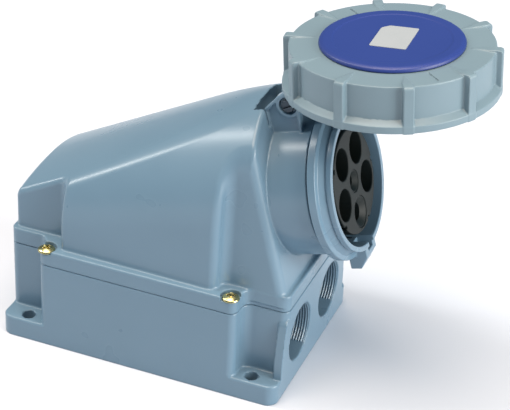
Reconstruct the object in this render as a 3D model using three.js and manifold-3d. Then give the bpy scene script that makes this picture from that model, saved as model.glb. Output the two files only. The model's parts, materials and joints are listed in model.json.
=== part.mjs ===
// Wall-mounted industrial power inlet box: a deep base with two threaded cable entries, a hooded cover
// that carries a tilted round socket, and a hinged lid with a ribbed bayonet ring.
// Millimetres. +Z points away from the wall, +X towards the socket. Origin: middle of the base's back face.

import * as THREE from 'three';
import { mergeVertices } from 'three/addons/utils/BufferGeometryUtils.js';
import Module from 'manifold-3d';

const wasm = await Module();
wasm.setup();

const GAP = 0.3; // clearance between pieces that touch in the real assembly
const DEG = Math.PI / 180;

// ---------- driving dimensions ----------

const base = {
  length: 163.6,
  width: 115.7,
  footHeight: 12.2,
  height: 51.9,
  wall: 3.5,
  floor: 3,
  recessWidth: 88.4, // across the body between the corner pockets
  bodyBack: -58, // the corner pockets end here
  bodyFront: 57.3,
  cornerRadius: 4,
  pocketRadius: 5.6,
  footRadius: 6.5,
};
const footHole = { radius: 3.65, back: -67.7, front: 65.6, side: 51.3 };
const entry = { radius: 16, side: 22.8, height: 27.5, bossRadius: 20.5, bossLength: 13 };
const rib = { thickness: 5, reach: 5.4, top: 48 };
const sealGroove = { width: 2.6, depth: 2, sealDepth: 1.7, wall: 1.4 };
const cavityLedge = 6; // the base's cavity narrows to the seal this far below its top

const flange = { bottom: base.height + GAP, top: 61.5 };
const coverScrew = {
  back: -54.5,
  front: 52.9,
  side: 53.8,
  headRadius: 4.75,
  headHeight: 2.4,
  shankRadius: 2,
  length: 38,
  holeBottom: 18,
};
const screwSeat = { radius: 5.6, depth: 2.3, towerRadius: 6 };

const hood = {
  back: -79.7,
  pocketBack: -47,
  pocketFront: 43.9,
  halfWidth: 54.9,
  pocketHalfWidth: 41.8,
  wall: 3.2,
  archRadius: 53,
  archFoot: 45, // below the socket axis; the walls stand upright from here down
  ridgeHeight: 88, // roof height at the back end of the hood
  ridgeAngle: 27.7,
  crownNear: 200, // crown radii of the roof either side of its ridge
  crownFar: 102,
};
// The slot sunk into the roof behind the hinge ears.
const roofSlot = { back: 46.6, front: 53.6, halfWidth: 16, floor: 148.5, wall: 3.2 };

const socket = {
  mouth: new THREE.Vector3(100.3, 0, 114.3),
  tilt: 16.19,
  tubeStart: -35.3, // the hood's front face, measured back from the mouth
  tubeEnd: -13.5,
  tubeRadius: 38,
  tubeBore: 36,
  rimRadius: 37.2,
  boreRadius: 34.3,
  flangeRadius: 41.5,
  sleeveRadius: 35.6,
  depth: -50,
};
// The key block below the collar, and the keyway cut into the collar above it.
const key = { halfWidth: 7.5, back: -11.5, front: -1, slopeBack: -5.5, bottom: 48.4, slopeBottom: 42 };
const keyway = { halfWidth: 3, length: 30, outer: 36.2, inner: 30 };
const carrier = { radius: 28, face: -2.3, baseRadius: 33.2, baseFront: -46, wellFloor: -44 };
const contact = { circle: 17.9, wellRadius: 8.5, radius: 6, bore: 4.1, front: -12, back: -74 };
const pilot = { wellRadius: 5.9, radius: 4.2, bore: 2.6, back: -68 };
const contactAngles = { contact_L1: 36, contact_L2: 108, contact_N: 180, contact_L3: 252, contact_PE: 324 };
const terminalBlock = { front: -50.3, back: -58, radius: 30 };
const terminalScrew = { radius: 2, length: 6, inset: 5, rise: 2.6 };
const carrierScrew = {
  circle: 24,
  angles: [0, 144, 216],
  headRadius: 3.2,
  headHeight: 2,
  shankRadius: 1.6,
  length: 20,
  hole: 1.9,
};

const lid = {
  openCentre: new THREE.Vector2(113.1, 172.9), // x and z of the open ring's rim centre
  openTilt: 4.48,
  closedDepth: -10.5, // where the rim comes to rest along the socket axis
  ringHeight: 23,
  ringRadius: 51.4,
  beadRadius: 54.9,
  ringBore: 49.8,
  faceBore: 34.6,
  lugs: [75, 255], // angles of the bayonet lugs inside the ring
  discRadius: 36.5,
  discTop: 25.8,
  ribs: 10,
  ribWidth: 5,
  ribPhase: 10,
};
const lidPlateForm = { radius: 45.5, low: 14.5, high: 19.5, seatRadius: 34.8, seat: 17.9 };
const lidScrew = {
  circle: 24,
  angles: [30, 150, 270],
  headRadius: 3,
  headHeight: 1.8,
  shankRadius: 1.5,
  length: 7.5,
  hole: 1.8,
};
const armScrew = { side: 5, reach: 42.5, headRadius: 2.1, headHeight: 1.4, shankRadius: 1.2, length: 6.4 };
const label = { halfLength: 14, halfWidth: 9, cornerCut: [-8, 5], thickness: 0.25 };
const lidTravel = 90 - socket.tilt + lid.openTilt;
const hinge = {
  pinRadius: 2.5,
  pinHole: 2.55,
  headRadius: 3.4,
  headSeat: 4.7,
  clipRadius: 4.6,
  earOuter: 14.5,
  earInner: 9,
  earFront: -18.5,
  bossRadius: 7,
  armHalfWidth: 8.4,
  armBoss: 6,
};

// ---------- materials ----------

function finish(color, roughness, metalness = 0) {
  return new THREE.MeshStandardMaterial({ color, roughness, metalness });
}

const looks = {
  housing: finish(0x7d93a3, 0.42),
  ring: finish(0x9fa9aa, 0.45),
  blue: finish(0x33457f, 0.35),
  carrier: finish(0x23262a, 0.5),
  seal: finish(0x1d2022, 0.8),
  brass: finish(0xb9974f, 0.35, 1),
  zinc: finish(0xc8b66e, 0.35, 1),
  steel: finish(0xa9adb0, 0.3, 1),
  label: finish(0xe6e8e8, 0.6),
};

// ---------- solids ----------

function signedVolume(position, index) {
  const a = new THREE.Vector3();
  const b = new THREE.Vector3();
  const c = new THREE.Vector3();
  let volume = 0;
  for (let i = 0; i < index.length; i += 3) {
    a.fromBufferAttribute(position, index[i]);
    b.fromBufferAttribute(position, index[i + 1]);
    c.fromBufferAttribute(position, index[i + 2]);
    volume += a.dot(b.cross(c)) / 6;
  }
  return volume;
}

function solid(geometry) {
  geometry.deleteAttribute('normal');
  geometry.deleteAttribute('uv');
  const merged = mergeVertices(geometry, 1e-4);
  const all = Array.from(merged.index.array);
  const index = [];
  for (let i = 0; i < all.length; i += 3) {
    const [a, b, c] = all.slice(i, i + 3);
    if (a !== b && b !== c && c !== a) index.push(a, b, c);
  }
  if (signedVolume(merged.attributes.position, index) < 0) index.reverse();
  const mesh = new wasm.Mesh({
    numProp: 3,
    vertProperties: new Float32Array(merged.attributes.position.array),
    triVerts: new Uint32Array(index),
  });
  return new wasm.Manifold(mesh);
}

function geometryOf(manifold) {
  const mesh = manifold.getMesh();
  const geometry = new THREE.BufferGeometry();
  geometry.setAttribute('position', new THREE.BufferAttribute(new Float32Array(mesh.vertProperties), 3));
  geometry.setIndex(new THREE.BufferAttribute(new Uint32Array(mesh.triVerts), 1));
  geometry.computeVertexNormals();
  return geometry;
}

const union = (...parts) => parts.reduce((whole, part) => whole.add(part));
const cut = (whole, ...parts) => parts.reduce((rest, part) => rest.subtract(part), whole);

// A shape drawn in the XY plane and raised from one height to another.
function prism(shape, low, high, curveSegments = 4) {
  const options = { depth: high - low, bevelEnabled: false, curveSegments };
  const geometry = new THREE.ExtrudeGeometry(shape, options);
  return geometry.translate(0, 0, low);
}

// A profile of [radius, distance] points turned about the X axis.
function turned(profile, segments = 48) {
  const points = profile.map(([radius, along]) => new THREE.Vector2(radius, along));
  return new THREE.LatheGeometry(points, segments).rotateZ(-Math.PI / 2);
}

const rod = (radius, from, to, segments = 20) =>
  turned([[0, from], [radius, from], [radius, to], [0, to]], segments);

const tube = (inner, outer, from, to, segments = 40) =>
  turned([[inner, from], [outer, from], [outer, to], [inner, to], [inner, from]], segments);

function block(x0, x1, y0, y1, z0, z1) {
  const geometry = new THREE.BoxGeometry(x1 - x0, y1 - y0, z1 - z0);
  return geometry.translate((x0 + x1) / 2, (y0 + y1) / 2, (z0 + z1) / 2);
}

function roundedPolygon(points, radii) {
  const shape = new THREE.Shape();
  points.forEach((vertex, i) => {
    const before = points[(i + points.length - 1) % points.length];
    const after = points[(i + 1) % points.length];
    const arrive = vertex.clone().sub(before).normalize();
    const leave = after.clone().sub(vertex).normalize();
    const turn = Math.atan2(arrive.cross(leave), arrive.dot(leave));
    const radius = Math.max(radii[i], 0.2);
    const start = vertex.clone().addScaledVector(arrive, -radius * Math.tan(Math.abs(turn) / 2));
    const inward = new THREE.Vector2(-arrive.y, arrive.x).multiplyScalar(radius * Math.sign(turn));
    const centre = start.clone().add(inward);
    const from = Math.atan2(start.y - centre.y, start.x - centre.x);
    if (i === 0) shape.moveTo(start.x, start.y);
    else shape.lineTo(start.x, start.y);
    shape.absarc(centre.x, centre.y, radius, from, from + turn, turn < 0);
  });
  shape.closePath();
  return shape;
}

// A rectangle whose four corners are taken out by pockets. An inner outline lies "inset" further in.
function pocketedOutline(plan, inset = 0) {
  const { back, front, pocketBack, pocketFront, side, pocketSide, corner, pocket } = plan;
  const x = [back + inset, pocketBack + inset, pocketFront - inset, front - inset];
  const y = [pocketSide - inset, side - inset];
  const half = [[x[3], y[0]], [x[2], y[0]], [x[2], y[1]], [x[1], y[1]], [x[1], y[0]], [x[0], y[0]]];
  const mirrored = half.map(([px, py]) => [px, -py]).reverse();
  const points = [...half, ...mirrored].map(([px, py]) => new THREE.Vector2(px, py));
  const [tight, wide] = [pocket - inset, pocket + inset];
  const bends = [corner - inset, wide, tight, tight, wide, corner - inset];
  return roundedPolygon(points, [...bends, ...[...bends].reverse()]);
}

const bodyPlan = {
  back: -base.length / 2,
  front: base.length / 2,
  pocketBack: base.bodyBack,
  pocketFront: base.bodyFront,
  side: base.width / 2,
  pocketSide: base.recessWidth / 2,
  corner: base.cornerRadius,
  pocket: base.pocketRadius,
};
const hoodPlan = {
  back: hood.back,
  front: base.length / 2 + 10, // cut off by the hood's front face
  pocketBack: hood.pocketBack,
  pocketFront: hood.pocketFront,
  side: hood.halfWidth,
  pocketSide: hood.pocketHalfWidth,
  corner: 3,
  pocket: base.pocketRadius,
};
const sealPlan = {
  ...hoodPlan,
  back: -78.6,
  front: 78.6,
  pocketBack: -48,
  pocketFront: 46.4,
  side: 54.4,
  pocketSide: 40.8,
};

const coverScrewPlaces = [
  [coverScrew.back, -coverScrew.side],
  [coverScrew.front, -coverScrew.side],
  [coverScrew.back, coverScrew.side],
  [coverScrew.front, coverScrew.side],
];

// ---------- frames of the socket and the lid ----------

const socketFrame = new THREE.Matrix4()
  .makeRotationY(-socket.tilt * DEG)
  .setPosition(socket.mouth);

const alongX = (geometry, y, z) => geometry.translate(0, y, z);
const upright = (geometry, x, y) => geometry.rotateY(-Math.PI / 2).translate(x, y, 0);
const inSocket = (geometry) => geometry.applyMatrix4(socketFrame);

// The pin lies where one turn carries the open rim centre onto the socket axis.
function hingePoint() {
  const closed = new THREE.Vector3(lid.closedDepth, 0, 0).applyMatrix4(socketFrame);
  const open = lid.openCentre;
  const middle = new THREE.Vector2((open.x + closed.x) / 2, (open.y + closed.z) / 2);
  const chord = new THREE.Vector2(closed.x - open.x, closed.z - open.y);
  const reach = 1 / (2 * Math.tan((lidTravel * DEG) / 2));
  return middle.add(new THREE.Vector2(chord.y * reach, -chord.x * reach));
}
const pin = hingePoint();

// Lid pieces are drawn with +X as the lid's outward normal, from the rim plane.
const lidFrame = new THREE.Matrix4()
  .makeRotationY(-(90 + lid.openTilt) * DEG)
  .setPosition(lid.openCentre.x, 0, lid.openCentre.y);
const pinInLid = new THREE.Vector3(pin.x, 0, pin.y).applyMatrix4(lidFrame.clone().invert());
const pinInSocket = new THREE.Vector3(pin.x, 0, pin.y).applyMatrix4(socketFrame.clone().invert());

// ---------- base ----------

function baseHousing() {
  const foot = solid(prism(footOutline(), 0, base.footHeight));
  const body = solid(prism(pocketedOutline(bodyPlan), 0, base.height));
  return cut(
    union(body, foot, ...cornerRibs()),
    baseCavity(),
    ...entryBars(entry.radius, entry.bossLength + 1, 1, 36),
    ...screwBars(coverScrew.shankRadius + GAP, coverScrew.holeBottom, base.height + 1, 12),
    ...footHoles(),
    sealRing(0, base.height - sealGroove.depth, base.height + 1),
  );
}

function footOutline() {
  const [x, y] = [base.length / 2, base.width / 2];
  const corners = [[x, y], [-x, y], [-x, -y], [x, -y]].map((corner) => new THREE.Vector2(...corner));
  return roundedPolygon(corners, Array(4).fill(base.footRadius));
}

// The inside of the base: full width below, and within the seal groove near the top.
function baseCavity() {
  const ledge = base.height - cavityLedge;
  const rimWall = sealGroove.width + sealGroove.wall;
  const low = solid(prism(pocketedOutline(bodyPlan, base.wall), base.floor, ledge));
  const mouth = solid(prism(pocketedOutline(sealPlan, rimWall), base.floor, base.height + 1));
  const towers = screwBars(screwSeat.towerRadius, 0, base.height, 20);
  const bosses = entryBars(entry.bossRadius, entry.bossLength, 0, 20);
  return cut(union(low, mouth), ...towers, ...bosses);
}

// Round bars along the two cable entries, from "depth" behind the end wall to "proud" in front of it.
function entryBars(radius, depth, proud, segments) {
  const end = base.length / 2;
  return [-1, 1].map((side) => {
    const bar = rod(radius, end - depth, end + proud, segments);
    return solid(alongX(bar, side * entry.side, entry.height));
  });
}

// Round bars standing at the four cover screws.
function screwBars(radius, low, high, segments) {
  return coverScrewPlaces.map(([x, y]) => solid(upright(rod(radius, low, high, segments), x, y)));
}

function footHoles() {
  return [footHole.back, footHole.front].flatMap((x) => [-1, 1].map((side) => {
    const bar = rod(footHole.radius, -1, base.footHeight + 1, 20);
    return solid(upright(bar, x, side * footHole.side));
  }));
}

// A ring that follows the seal between base and cover, thinner by "inset" on both sides.
function sealRing(inset, low, high) {
  return cut(
    solid(prism(pocketedOutline(sealPlan, inset), low, high)),
    solid(prism(pocketedOutline(sealPlan, sealGroove.width - inset), low - 1, high + 1)),
  );
}

// Two curved gussets carry the end wall out to the feet beside the cable entries.
function cornerRibs() {
  const side = base.recessWidth / 2;
  const shape = new THREE.Shape();
  shape.moveTo(side - 1, base.footHeight - 1);
  shape.lineTo(side + rib.reach, base.footHeight - 1);
  shape.quadraticCurveTo(side + rib.reach - 1.2, rib.top - 8, side, rib.top);
  shape.lineTo(side - 1, rib.top);
  shape.closePath();
  const plate = () => prism(shape, base.length / 2 - rib.thickness, base.length / 2, 8)
    .rotateX(Math.PI / 2)
    .rotateZ(Math.PI / 2);
  return [solid(plate()), solid(plate().scale(1, -1, 1))];
}

function housingGasket() {
  return sealRing(GAP, base.height - sealGroove.sealDepth, base.height + GAP / 2);
}

function screw({ headRadius, headHeight, shankRadius, length }, segments = 16) {
  return turned([
    [0, -length],
    [shankRadius * 0.6, -length],
    [shankRadius, -length + shankRadius],
    [shankRadius, 0],
    [headRadius, 0],
    [headRadius * 0.97, headHeight * 0.4],
    [headRadius * 0.72, headHeight * 0.82],
    [headRadius * 0.35, headHeight],
    [0, headHeight],
  ], segments);
}

// ---------- cover ----------

// The hood's outside, or its inside when every wall is moved in by "inset".
function hoodForm(inset, bottom) {
  const plan = solid(prism(pocketedOutline(hoodPlan, inset), bottom, 200));
  const radius = hood.archRadius - inset;
  const arch = new THREE.Shape();
  const side = hood.halfWidth - inset;
  arch.moveTo(-hood.archFoot, -side);
  arch.lineTo(0, -radius);
  arch.absarc(0, 0, radius, -Math.PI / 2, Math.PI / 2, false);
  arch.lineTo(-hood.archFoot, side);
  arch.lineTo(-120, side + 3);
  arch.lineTo(-120, -side - 3);
  arch.closePath();
  const bar = prism(arch, -260, socket.tubeStart - inset, 32)
    .rotateY(Math.PI / 2)
    .rotateX(Math.PI);
  return plan.intersect(solid(inSocket(bar))).intersect(crownBar(inset));
}

// The roof: a long bar with a crowned top, laid along the ridge.
function crownBar(inset) {
  const reach = 70;
  const shape = new THREE.Shape();
  const near = Math.asin(reach / hood.crownNear);
  const far = Math.asin(reach / hood.crownFar);
  shape.moveTo(reach, -200);
  shape.lineTo(reach, -hood.crownFar * (1 - Math.cos(far)));
  shape.absarc(0, -hood.crownFar, hood.crownFar, Math.PI / 2 - far, Math.PI / 2, false);
  shape.absarc(0, -hood.crownNear, hood.crownNear, Math.PI / 2, Math.PI / 2 + near, false);
  shape.lineTo(-reach, -200);
  shape.closePath();
  const bar = prism(shape, -100, 320, 24).rotateX(Math.PI / 2).rotateZ(Math.PI / 2);
  return solid(bar
    .translate(0, 0, -inset)
    .rotateY(-hood.ridgeAngle * DEG)
    .translate(hood.back, 0, hood.ridgeHeight));
}

function hingeEars() {
  const [s, h] = [pinInSocket.x, pinInSocket.z];
  const shape = new THREE.Shape();
  shape.moveTo(socket.tubeStart - 1, socket.tubeBore + 1);
  shape.lineTo(hinge.earFront, socket.tubeBore + 1);
  shape.lineTo(hinge.earFront, h - 6);
  shape.lineTo(s + 6, h - 4);
  shape.absarc(s, h, hinge.bossRadius, -Math.PI / 6, (Math.PI * 3) / 4, false);
  shape.lineTo(socket.tubeStart - 1, h - 1);
  shape.closePath();
  const ear = (from, to) => solid(inSocket(prism(shape, -to, -from, 10).rotateX(Math.PI / 2)));
  return union(ear(-hinge.earOuter, -hinge.earInner), ear(hinge.earInner, hinge.earOuter));
}

const crosswise = (geometry) => geometry.rotateZ(Math.PI / 2).translate(pin.x, 0, pin.y);

function coverHousing() {
  const rim = solid(prism(pocketedOutline(bodyPlan), flange.bottom, flange.top));
  const neck = solid(inSocket(rod(socket.tubeRadius, socket.tubeStart - 3, socket.tubeEnd, 56)));
  const bore = solid(inSocket(rod(socket.tubeBore, socket.tubeStart - 9, socket.tubeEnd + 1, 56)));
  const cavity = cut(hoodForm(hood.wall, flange.bottom - 1), slotBox(roofSlot.wall));
  return cut(
    union(rim, hoodForm(0, flange.top - 1), neck, hingeEars()),
    cavity,
    bore,
    slotBox(0),
    ...screwBars(screwSeat.radius, flange.top - screwSeat.depth, flange.top + 1, 20),
    ...screwBars(coverScrew.shankRadius + GAP, flange.bottom - 1, flange.top, 12),
    solid(crosswise(rod(hinge.pinHole, -30, 30, 20))),
    solid(crosswise(rod(hinge.headSeat, -30, -hinge.earOuter + 2.4, 20))),
  );
}

function slotBox(wall) {
  const { back, front, halfWidth, floor } = roofSlot;
  const side = halfWidth + wall;
  return solid(block(back - wall, front + wall, -side, side, floor - wall, floor + 26.5));
}

// ---------- socket ----------

function socketCollar() {
  const ring = solid(turned([
    [socket.boreRadius, 0],
    [socket.rimRadius, 0],
    [socket.rimRadius, -2.8],
    [36.4, -3.3],
    [38.8, -6.6],
    [socket.flangeRadius, -7.2],
    [socket.flangeRadius, -11.5],
    [socket.sleeveRadius, -11.5],
    [socket.sleeveRadius, socket.depth],
    [33.6, socket.depth],
    [33.8, -40],
    [socket.boreRadius, 0],
  ], 60));
  const keyBlock = solid(prism(keyShape(), -key.halfWidth, key.halfWidth).rotateX(Math.PI / 2));
  const inner = solid(rod(socket.boreRadius, key.back, 1, 60));
  return cut(union(ring, cut(keyBlock, inner)), keywayBox());
}

function keywayBox() {
  const { halfWidth, length, outer, inner } = keyway;
  return solid(block(-length, 1, -halfWidth, halfWidth, -outer, -inner));
}

// The side view of the key block, chamfered towards the mouth.
function keyShape() {
  const shape = new THREE.Shape();
  const top = -34;
  shape.moveTo(key.back, top);
  shape.lineTo(key.back, -key.bottom);
  shape.lineTo(key.slopeBack, -key.bottom);
  shape.lineTo(key.front, -key.slopeBottom);
  shape.lineTo(key.front, top);
  shape.closePath();
  return shape;
}

const contactPlaces = Object.entries(contactAngles).map(([name, angle]) => ({
  name,
  y: -contact.circle * Math.sin(angle * DEG),
  z: contact.circle * Math.cos(angle * DEG),
}));

// Places on a circle in the YZ plane, at angles counted from +Z.
function around({ circle, angles }) {
  return angles.map((angle) => ({
    y: circle * Math.sin(angle * DEG),
    z: circle * Math.cos(angle * DEG),
  }));
}
const carrierScrewPlaces = around(carrierScrew);

const holesAt = (places, radius, from, to, segments) =>
  places.map(({ y, z }) => solid(alongX(rod(radius, from, to, segments), y, z)));

function contactCarrier() {
  const body = solid(turned([
    [0, carrier.face],
    [carrier.radius - 0.8, carrier.face],
    [carrier.radius, carrier.face - 0.8],
    [carrier.radius, carrier.baseFront],
    [carrier.baseRadius, carrier.baseFront],
    [carrier.baseRadius, socket.depth],
    [0, socket.depth],
  ], 48));
  const wells = [
    ...holesAt(contactPlaces, contact.wellRadius, carrier.wellFloor, 1, 24),
    ...holesAt(contactPlaces, contact.radius + GAP, -60, carrier.wellFloor + 1, 16),
  ];
  const pilotWell = [
    solid(rod(pilot.wellRadius, carrier.wellFloor, 1, 20)),
    solid(rod(pilot.radius + GAP, -60, carrier.wellFloor + 1, 16)),
  ];
  const screwHoles = holesAt(carrierScrewPlaces, carrierScrew.hole, -60, -36, 10);
  const edgeNotches = [54, 126, 198, 270, 342].map((angle) => solid(
    block(-30, 1, -1.2, 1.2, carrier.radius - 1.6, carrier.radius + 2).rotateX(angle * DEG)));
  return cut(body, ...wells, ...pilotWell, ...screwHoles, ...edgeNotches);
}

function contactSleeve({ radius, bore, back }) {
  const sleeve = solid(turned([
    [0, back],
    [radius, back],
    [radius, contact.front - 1],
    [radius - 0.8, contact.front],
    [bore + 0.6, contact.front],
    [bore, contact.front - 1.2],
    [bore, -48],
    [0, -48],
  ], 16));
  const wireHole = solid(rod(bore * 0.8, back - 1, back + 9, 12));
  const screwHole = solid(rod(terminalScrew.radius + GAP / 2, 0, 12, 10)
    .rotateY(-Math.PI / 2)
    .translate(back + terminalScrew.inset, 0, 0));
  return cut(sleeve, wireHole, screwHole);
}

function terminalBlockSolid() {
  return cut(
    solid(rod(terminalBlock.radius, terminalBlock.back, terminalBlock.front, 36)),
    ...holesAt(contactPlaces, contact.radius + GAP, -70, -40, 16),
    ...holesAt(carrierScrewPlaces, carrierScrew.hole, -70, -40, 10),
    solid(rod(pilot.radius + GAP, -70, -40, 16)),
  );
}

// ---------- lid ----------

function bayonetRing() {
  const wall = solid(turned([
    [51.8, 0],
    [lid.beadRadius, 0],
    [lid.beadRadius, 3.7],
    [lid.ringRadius, 6],
    [lid.ringRadius, lid.ringHeight - 0.8],
    [lid.ringRadius - 0.8, lid.ringHeight],
    [lid.faceBore, lid.ringHeight],
    [lid.faceBore, 19.8],
    [48, 19.8],
    [48, 10.5],
    [lid.ringBore, 10.5],
    [lid.ringBore, 5],
    [51.8, 0],
  ], 60));
  const profile = new THREE.Shape();
  profile.moveTo(0.2, 50.6);
  profile.lineTo(0.2, lid.beadRadius);
  profile.lineTo(lid.ringHeight - 1.5, lid.beadRadius);
  profile.lineTo(lid.ringHeight + 1, lid.beadRadius - 2.2);
  profile.lineTo(lid.ringHeight - 0.2, 39.5);
  profile.lineTo(lid.ringHeight - 2, 39.5);
  profile.lineTo(lid.ringHeight - 2, 50.6);
  profile.closePath();
  const half = lid.ribWidth / 2;
  const ribs = Array.from({ length: lid.ribs }, (_, i) => solid(prism(profile, -half, half)
    .rotateX(Math.PI / 2)
    .rotateX((lid.ribPhase + (i * 360) / lid.ribs) * DEG)));
  const lugs = lid.lugs.map((angle) => solid(block(1, 4.5, -6, 6, 43.2, 51.5).rotateX(angle * DEG)));
  return union(wall, ...ribs, ...lugs);
}

const lidScrewPlaces = around(lidScrew);

// The arm reaches the lid on the hinge side of the lid's own frame.
const hingeSide = Math.sign(pinInLid.z);
const armScrewPlaces = [-1, 1].map((side) => ({ y: side * armScrew.side, z: hingeSide * armScrew.reach }));

function lidDisc() {
  const cap = solid(turned([
    [0, lid.discTop],
    [lid.discRadius - 2, lid.discTop],
    [lid.discRadius - 0.4, lid.discTop - 0.6],
    [lid.discRadius, lid.discTop - 1.6],
    [lid.discRadius, lid.ringHeight + GAP],
    [34.2, lid.ringHeight + GAP],
    [34.2, 18.2],
    [30, 18.2],
    [30, 22.8],
    [0, 22.8],
  ], 48));
  const bosses = holesAt(lidScrewPlaces, 2 * lidScrew.hole, 18.2, 23.5, 12);
  return cut(union(cap, ...bosses), ...holesAt(lidScrewPlaces, lidScrew.hole, 17, 22.5, 10));
}

function lidPlate() {
  const { radius, low, high, seatRadius, seat } = lidPlateForm;
  const plate = solid(turned([
    [0, low],
    [radius, low],
    [radius, high],
    [seatRadius, high],
    [seatRadius, seat],
    [0, seat],
  ], 40));
  return cut(
    plate,
    ...holesAt(lidScrewPlaces, lidScrew.hole, low - 4.5, high + 2.5, 10),
    ...holesAt(armScrewPlaces, armScrew.shankRadius + GAP, low - 1.5, high - 1.1, 10),
  );
}

function hingeArm() {
  const [a, r] = [pinInLid.x, Math.abs(pinInLid.z)];
  const shape = new THREE.Shape();
  shape.moveTo(14.2, 39.9);
  shape.lineTo(14.2, 47);
  shape.lineTo(2, 47);
  shape.lineTo(a + 5.4, r + 2.6);
  shape.absarc(a, r, hinge.armBoss, 0.45, -Math.PI * 0.92, false);
  shape.lineTo(0, 44.8);
  shape.lineTo(11, 44.8);
  shape.lineTo(11, 39.9);
  shape.closePath();
  const half = hinge.armHalfWidth;
  const arm = solid(prism(shape, -half, half, 16).rotateX(Math.PI / 2).scale(1, 1, hingeSide));
  const hole = solid(rod(hinge.pinHole, -20, 20, 24).rotateZ(Math.PI / 2).translate(a, 0, pinInLid.z));
  return cut(arm, hole, ...holesAt(armScrewPlaces, armScrew.shankRadius + 0.5, 5, 20, 10));
}

function ratingLabel() {
  const { halfLength, halfWidth, cornerCut, thickness } = label;
  const points = [
    [-halfLength, -halfWidth],
    [halfLength, -halfWidth],
    [halfLength, halfWidth],
    [cornerCut[0], halfWidth],
    [-halfLength, cornerCut[1]],
  ];
  const outline = roundedPolygon(points.map((point) => new THREE.Vector2(...point)), [2, 2, 2, 1, 1]);
  return prism(outline, lid.discTop + GAP, lid.discTop + GAP + thickness).rotateY(Math.PI / 2);
}

// ---------- assembly ----------

const part = new THREE.Group();
const socketGroup = new THREE.Group();
socketGroup.applyMatrix4(socketFrame);
const lidGroup = new THREE.Group();
lidGroup.applyMatrix4(lidFrame);
part.add(socketGroup, lidGroup);

function place(name, shape, look, parent = part) {
  const geometry = shape.isBufferGeometry ? geometryOf(solid(shape)) : geometryOf(shape);
  const mesh = new THREE.Mesh(geometry, looks[look].clone());
  mesh.name = name;
  parent.add(mesh);
  return mesh;
}

place('base_housing', baseHousing(), 'housing');
place('housing_gasket', housingGasket(), 'seal');
place('cover_housing', coverHousing(), 'housing');
coverScrewPlaces.forEach(([x, y], i) => {
  const mesh = place(`cover_screw_${i + 1}`, upright(screw(coverScrew), 0, 0), 'zinc');
  mesh.position.set(x, y, flange.top - screwSeat.depth + GAP);
});

place('socket_collar', socketCollar(), 'housing', socketGroup);
place('collar_gasket', tube(35.9, 37.4, -13.2, -11.8), 'seal', socketGroup);
place('socket_lock_ring', tube(35.9, 38.2, -45, -38.8), 'carrier', socketGroup);
place('contact_carrier', contactCarrier(), 'carrier', socketGroup);
place('terminal_block', terminalBlockSolid(), 'carrier', socketGroup);
contactPlaces.forEach(({ name, y, z }) => {
  const outward = Math.atan2(-y, z);
  const sleeve = place(name, contactSleeve(contact), 'brass', socketGroup);
  sleeve.position.set(0, y, z);
  sleeve.rotation.x = outward;
  const grub = rod(terminalScrew.radius, 0, terminalScrew.length, 10);
  const set = place(name.replace('contact', 'terminal_screw'), grub, 'steel', socketGroup);
  const { inset, rise } = terminalScrew;
  set.position.set(contact.back + inset, y - Math.sin(outward) * rise, z + Math.cos(outward) * rise);
  set.rotation.set(outward, -Math.PI / 2, 0, 'XYZ');
});
place('contact_pilot', contactSleeve(pilot), 'brass', socketGroup);
carrierScrewPlaces.forEach(({ y, z }, i) => {
  const body = screw(carrierScrew).rotateY(Math.PI);
  const mesh = place(`carrier_screw_${i + 1}`, body, 'steel', socketGroup);
  mesh.position.set(terminalBlock.back - GAP, y, z);
});

place('hinge_pin', crosswise(turned([
  [0, -hinge.earOuter + 0.6],
  [hinge.headRadius, -hinge.earOuter + 0.6],
  [hinge.headRadius, -hinge.earOuter + 2.1],
  [hinge.pinRadius, -hinge.earOuter + 2.1],
  [hinge.pinRadius, hinge.earOuter + 2.4],
  [0, hinge.earOuter + 2.4],
], 24)), 'steel');
const clip = tube(hinge.pinRadius + 0.1, hinge.clipRadius, hinge.earOuter + GAP, hinge.earOuter + 1.3, 24);
place('hinge_clip', crosswise(clip), 'steel');

place('bayonet_ring', bayonetRing(), 'ring', lidGroup);
place('lid_disc', lidDisc(), 'blue', lidGroup);
place('lid_plate', lidPlate(), 'carrier', lidGroup);
place('lid_gasket', tube(33.4, 39.6, 10.8, 14.2), 'seal', lidGroup);
place('lid_hinge_arm', hingeArm(), 'housing', lidGroup);
place('rating_label', ratingLabel(), 'label', lidGroup);
lidScrewPlaces.forEach(({ y, z }, i) => {
  const mesh = place(`lid_screw_${i + 1}`, screw(lidScrew).rotateY(Math.PI), 'steel', lidGroup);
  mesh.position.set(lidPlateForm.low - GAP, y, z);
});
armScrewPlaces.forEach(({ y, z }, i) => {
  const mesh = place(`arm_screw_${i + 1}`, screw(armScrew, 14).rotateY(Math.PI), 'steel', lidGroup);
  mesh.position.set(10.7, y, z);
});

export default part;
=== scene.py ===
import itertools
import json
import math

import bmesh
import bpy
import numpy as np
from mathutils import Matrix, Vector


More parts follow.
